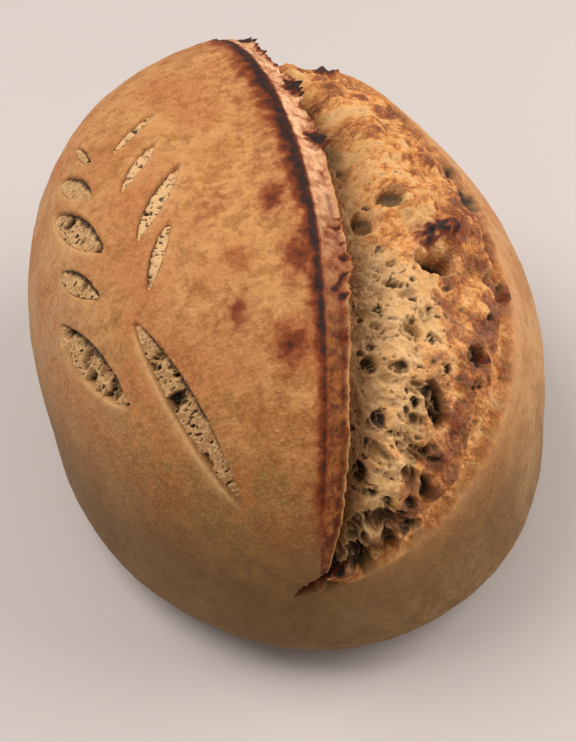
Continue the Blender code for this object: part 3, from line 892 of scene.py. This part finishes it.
def crust_look(tree):
    """Baked crust: colour and relief height. Dry heat on damp dough browns the sugars unevenly, so the top
    is golden with rosy patches and pale blisters, and the sides stay dull tan. The darkening toward the
    table is partly that and partly painted shade, the lighter tan on the right flank is painted light, and
    the pale dots are blisters with painted glints."""
    place = add(tree, "TexCoord").outputs["Object"]
    split = add(tree, "SeparateXYZ", {0: place})
    patches, mottle, grain, freckles = (
        add(tree, "TexNoise", {"Vector": place, "Scale": 1 / size, "Detail": detail,
                               "Roughness": roughness}).outputs["Fac"]
        for size, detail, roughness in (
            (0.034, 3, 0.5),
            (0.0085, 5, 0.62),
            (0.0013, 3, 0.6),
            (0.0038, 4, 0.7),
        )
    )
    blister = add(tree, "TexVoronoi", {"Vector": place, "Scale": 1 / 0.0036})

    height, aside = split.outputs["Z"], split.outputs["X"]
    # Darker toward the table: partly less browning, partly painted shade on the lower loaf
    warm = add(tree, "MapRange", {"Value": height, "From Min": 0.015, "From Max": 0.125}).outputs[0]
    ramp = add(tree, "ValToRGB", {"Fac": swayed(tree, warm, mottle, 0.28)})
    stops = ramp.color_ramp.elements
    stops[0].position, stops[0].color = 0.0, colour("#8b6b46")
    stops[1].position, stops[1].color = 1.0, colour("#cb9158")
    for position, code in ((0.3, "#7e5f39"), (0.6, "#906a39"), (0.78, "#a8733e"), (0.9, "#b47a44")):
        stop = stops.new(position)
        stop.color = colour(code)
    raised = add(tree, "MapRange", {"Value": height, "From Min": 0.05, "From Max": 0.095}).outputs[0]
    tone = laid_over(tree, ramp.outputs[0], "#b8926d", aside, -0.055, -0.095, 0.7, raised, "SMOOTHSTEP")
    # Painted light: a lighter tan on the right flank
    above = add(tree, "MapRange", {"Value": height, "From Min": 0.025, "From Max": 0.065}).outputs[0]
    tone = laid_over(tree, tone, "#c49663", aside, 0.042, 0.075, 0.85, above, "SMOOTHSTEP")
    tone = laid_over(tree, tone, "#ae5f33", patches, 0.5, 0.66, 0.55, raised)
    tan = add(tree, "MapRange", {"Value": mottle, "From Min": 0.52, "From Max": 0.72,
                                 "To Max": 0.5}).outputs[0]
    cloud = add(tree, "MapRange", {"Value": patches, "From Min": 0.49, "From Max": 0.36,
                                   "To Max": 0.55}).outputs[0]
    tan = add(tree, "Math", {0: tan, 1: cloud}, operation="MAXIMUM").outputs[0]
    for measure, start, full, strength, low_code, high_code in (
        (tan, 0.0, 1.0, 1.0, "#6b4a28", "#a9622f"),
        (freckles, 0.46, 0.72, 0.55, "#5d4226", "#8a5127"),
        (grain, 0.44, 0.8, 0.55, "#876439", "#d6a468"),
    ):
        second = laid_over(tree, colour(low_code), high_code, raised)
        tone = laid_over(tree, tone, second, measure, start, full, strength)
    # Pale dots on the upper crust: blisters, partly painted glints
    dot = add(tree, "MapRange", {"Value": blister.outputs["Distance"], "From Min": 0.06, "From Max": 0.17,
                                 "To Min": 1.0, "To Max": 0.0}).outputs[0]
    chosen = add(tree, "SeparateColor", {0: blister.outputs["Color"]}).outputs[0]
    chosen = add(tree, "MapRange", {"Value": chosen, "From Min": 0.72, "From Max": 0.8}).outputs[0]
    chosen = add(tree, "Math", {0: chosen, 1: raised}, operation="MULTIPLY").outputs[0]
    dot = add(tree, "Math", {0: dot, 1: chosen}, operation="MULTIPLY").outputs[0]
    tone = laid_over(tree, tone, "#e8bb85", dot, strength=0.35)
    relief = mottle
    for part, height in ((grain, 0.6), (freckles, 0.8), (dot, 0.35)):
        relief = add(tree, "Math", {0: part, 1: height, 2: relief}, operation="MULTIPLY_ADD").outputs[0]
    return tone, relief, freckles


def scorch(tree, tone, freckles):
    """Burnt crust over a tone: a red-brown halo, then purple-brown, then nearly black. The crack at the
    front tip is blackened the same way, as painted shadow.
    """
    char = add(tree, "Attribute", attribute_name="char").outputs["Fac"]
    char = swayed(tree, char, freckles, 0.20)
    for start, full, strength, code in (
        (0.10, 0.6, 0.95, "#8d401c"),
        (0.38, 0.95, 1.0, "#4e210f"),
        (0.76, 1.1, 1.0, "#281e1d"),
    ):
        tone = laid_over(tree, tone, code, char, start, full, strength)
    return tone


def surfaced(tree, shader, tone, relief, depth, strength, settings):
    """Gives a shader its tone, its relief and the rest of its look."""
    bumped = add(tree, "Bump", {"Height": relief, "Distance": depth, "Strength": strength})
    tree.links.new(tone, shader.inputs["Base Color"])
    tree.links.new(bumped.outputs[0], shader.inputs["Normal"])
    for name, value in settings.items():
        shader.inputs[name].default_value = value


def baked_crust():
    """Crust, baked on a hot stone: matt with a faint sheen, finely blistered."""
    made, tree, shader = blank("baked_crust")
    tone, relief, freckles = crust_look(tree)
    tone = laid_over(tree, tone, "#c98a52", "lip_toast", strength=0.4)
    rosy = laid_over(tree, colour("#ecbc90"), "#c68a60", freckles, 0.40, 0.62)
    dull = laid_over(tree, colour("#985a28"), "#4e2310", freckles, 0.40, 0.62)
    # The ear's cut face goes from rosy at the back to dull dark brown toward its front end
    skin = laid_over(tree, rosy, dull, "shelter")
    skin = laid_over(tree, skin, "#551d14", "groove")
    skin = laid_over(tree, skin, "#c98f5a", "pale_rim")
    tone = laid_over(tree, tone, skin, "band")
    # The pale lip beside each cut: partly paler crust, partly painted highlight
    tone = laid_over(tree, tone, "#e2b276", "pale_lip", strength=0.9)
    # Painted shade inside the score cuts
    tone = laid_over(tree, tone, "#8c6a45", "cut_shade")
    tone = scorch(tree, tone, freckles)
    surfaced(tree, shader, tone, relief, 0.0008, 1.0,
             {"Roughness": 0.58, "IOR": 1.33, "Specular IOR Level": 0.3})
    return made


# Moist crumb is matt, and a little light goes into it and comes out again close by
MOIST = {"Roughness": 0.7, "IOR": 1.4, "Subsurface Weight": 0.12, "Subsurface Radius": (1.0, 0.55, 0.3)}


def crumb_tone(tree):
    """Open crumb: steamed flour gel, cream where it is fresh, darkened down in its cells by painted shade,
    and toasted orange where a ridge stood out in the heat. Its pale strands carry painted highlight on the
    cell rims."""
    place = add(tree, "TexCoord").outputs["Object"]
    spread = add(tree, "TexNoise", {"Vector": place, "Scale": 1 / 0.006, "Detail": 5.0,
                                    "Roughness": 0.65}).outputs["Fac"]
    fine = add(tree, "TexNoise", {"Vector": place, "Scale": 1 / 0.0011, "Detail": 3.0}).outputs["Fac"]
    pinholes = add(tree, "TexVoronoi", {"Vector": place, "Scale": 1 / 0.0013}).outputs["Distance"]
    fresh = laid_over(tree, colour("#e8b97c"), "#b48048", spread)
    toast = add(tree, "Attribute", attribute_name="toast").outputs["Fac"]
    toast = swayed(tree, toast, spread, 0.18)
    toast = swayed(tree, toast, fine, 0.16)
    ramp = add(tree, "ValToRGB", {"Fac": toast})
    stops = ramp.color_ramp.elements
    stops[0].position, stops[0].color = 0.0, colour("#e9be82")
    stops[1].position, stops[1].color = 1.0, colour("#6f3417")
    for position, code in ((0.3, "#dba05c"), (0.52, "#c47c3a"), (0.75, "#8f4c1b")):
        stop = stops.new(position)
        stop.color = colour(code)
    tone = laid_over(tree, fresh, ramp.outputs[0], toast, 0.05, 0.35)
    # Pale strands, with painted highlight on the cell rims
    tone = laid_over(tree, tone, "#e6c18e", "strand", strength=0.55)
    # Painted shade in the cells and hollows, and the front crack's painted shadow
    tone = laid_over(tree, tone, "#6a4c2a", "pore", 0.10, 0.6, 0.9)
    tone = laid_over(tree, tone, "#2c1b14", "pore", 0.55, 0.95)
    relief = add(tree, "Math", {0: pinholes, 1: 0.6, 2: fine}, operation="MULTIPLY_ADD").outputs[0]
    return tone, relief


def torn_bread():
    """Torn crumb that meets the crust at the lower lip, toasted where it faced the oven."""
    made, tree, shader = blank("torn_bread")
    crust, crust_bumps, freckles = crust_look(tree)
    crust = laid_over(tree, crust, "#c98a52", "lip_toast", strength=0.4)
    crumb, crumb_bumps = crumb_tone(tree)
    tone = scorch(tree, laid_over(tree, crust, crumb, "torn"), freckles)
    torn = add(tree, "Attribute", attribute_name="torn").outputs["Fac"]
    bumps = add(tree, "Mix", {0: torn, 2: crust_bumps, 3: crumb_bumps}, data_type="FLOAT").outputs[0]
    surfaced(tree, shader, tone, bumps, 0.0006, 0.8, MOIST | {"Subsurface Scale": 0.003})
    return made


def steamed_crumb():
    """Crumb in the score cuts: it opened early and stayed moist, so it is pale beige; painted shade makes it
    greyer in the left column and darker on the flap side of each cut.
    """
    made, tree, shader = blank("steamed_crumb")
    tone, bumps = crumb_tone(tree)
    surfaced(tree, shader, tone, bumps, 0.0004, 0.7, MOIST | {"Subsurface Scale": 0.002})
    return made


# The studio

CAMERA_DISTANCE = 0.48
CAMERA_TILT = 0.793  # radians below level
CAMERA_ROLL = -0.120
CAMERA_AIM = (-0.001, -0.034, 0.070)
LOAF_TURN = 0.190  # radians that the loaf is turned on the table, against the camera
FOCAL_PIXELS = 1277
LONG_SIDE_PIXELS = 742
SENSOR = 36.0


def place_camera(centre):
    tilt, roll = CAMERA_TILT, CAMERA_ROLL
    forward = Vector((0, math.cos(tilt), -math.sin(tilt)))
    up = Vector((0, math.sin(tilt), math.cos(tilt)))
    right = Vector((1, 0, 0))
    turn = Matrix.Rotation(-LOAF_TURN, 3, "Z")
    side = turn @ (right * math.cos(roll) + up * math.sin(roll))
    top = turn @ (up * math.cos(roll) - right * math.sin(roll))
    back = turn @ -forward
    place = turn @ (Vector(CAMERA_AIM) - forward * CAMERA_DISTANCE) - Vector(centre)
    data = bpy.data.cameras.new("camera")
    data.sensor_width = SENSOR
    data.lens = FOCAL_PIXELS / LONG_SIDE_PIXELS * SENSOR
    camera = bpy.data.objects.new("camera", data)
    matrix = Matrix((side, top, back)).transposed().to_4x4()
    matrix.translation = place
    camera.matrix_world = matrix
    bpy.context.scene.collection.objects.link(camera)
    bpy.context.scene.camera = camera


def area_light(name, place, aim, size, power, tint):
    data = bpy.data.lights.new(name, "AREA")
    data.shape = "DISK"
    data.size = size
    data.energy = power
    data.color = colour(tint)[:3]
    light = bpy.data.objects.new(name, data)
    light.location = place
    light.rotation_euler = (Vector(aim) - Vector(place)).to_track_quat("-Z", "Y").to_euler()
    bpy.context.scene.collection.objects.link(light)


def pale_floor():
    """Painted board, rolled flat and matt, so it shows only soft shade."""
    made, tree, shader = blank("painted_board")
    place = add(tree, "TexCoord").outputs["Object"]
    cloud = add(tree, "TexNoise", {"Vector": place, "Scale": 3.0, "Detail": 2.0}).outputs["Fac"]
    tone = laid_over(tree, colour("#c9c1bc"), "#c5bdb8", cloud)
    tree.links.new(tone, shader.inputs["Base Color"])
    shader.inputs["Roughness"].default_value = 0.6
    bpy.ops.object.select_all(action="DESELECT")
    bpy.ops.mesh.primitive_plane_add(size=8.0, location=(0, 0, 0))
    floor = bpy.context.object
    floor.name = "floor"
    floor.data.materials.append(made)


def light_studio():
    area_light("window", (-0.72, 0.36, 1.50), (0, 0, 0.06), 1.2, 18.2, "#fffaf6")
    area_light("bounce", (1.30, -0.20, 0.85), (0, 0, 0.05), 1.3, 19.0, "#fffaf6")
    world = bpy.data.worlds.new("pale_room")
    world.use_nodes = True
    glow = world.node_tree.nodes["Background"].inputs
    glow["Color"].default_value = colour("#e8e3e0")
    glow["Strength"].default_value = 0.58
    bpy.context.scene.world = world


def plain_film():
    """Colours go to the picture as they are, so that they can be matched to the real ones."""
    bpy.context.scene.view_settings.view_transform = "Standard"


crust, centre = make_crust()
torn = make_torn_crumb(centre)
score_crumbs = [make_score_crumb(number, *cut, centre) for number, cut in enumerate(WHEAT_CUTS)]
bpy.ops.object.select_all(action="DESELECT")
for piece in score_crumbs:
    piece.select_set(True)
bpy.context.view_layer.objects.active = score_crumbs[0]
bpy.ops.object.join()
score_crumb = bpy.context.object
score_crumb.name = "score_crumb"

crust.data.materials.append(baked_crust())
torn.data.materials.append(torn_bread())
score_crumb.data.materials.append(steamed_crumb())
for piece in (crust, torn, score_crumb):
    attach(piece, "root")
    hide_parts("loaf")

pale_floor()
light_studio()
plain_film()
place_camera(centre)
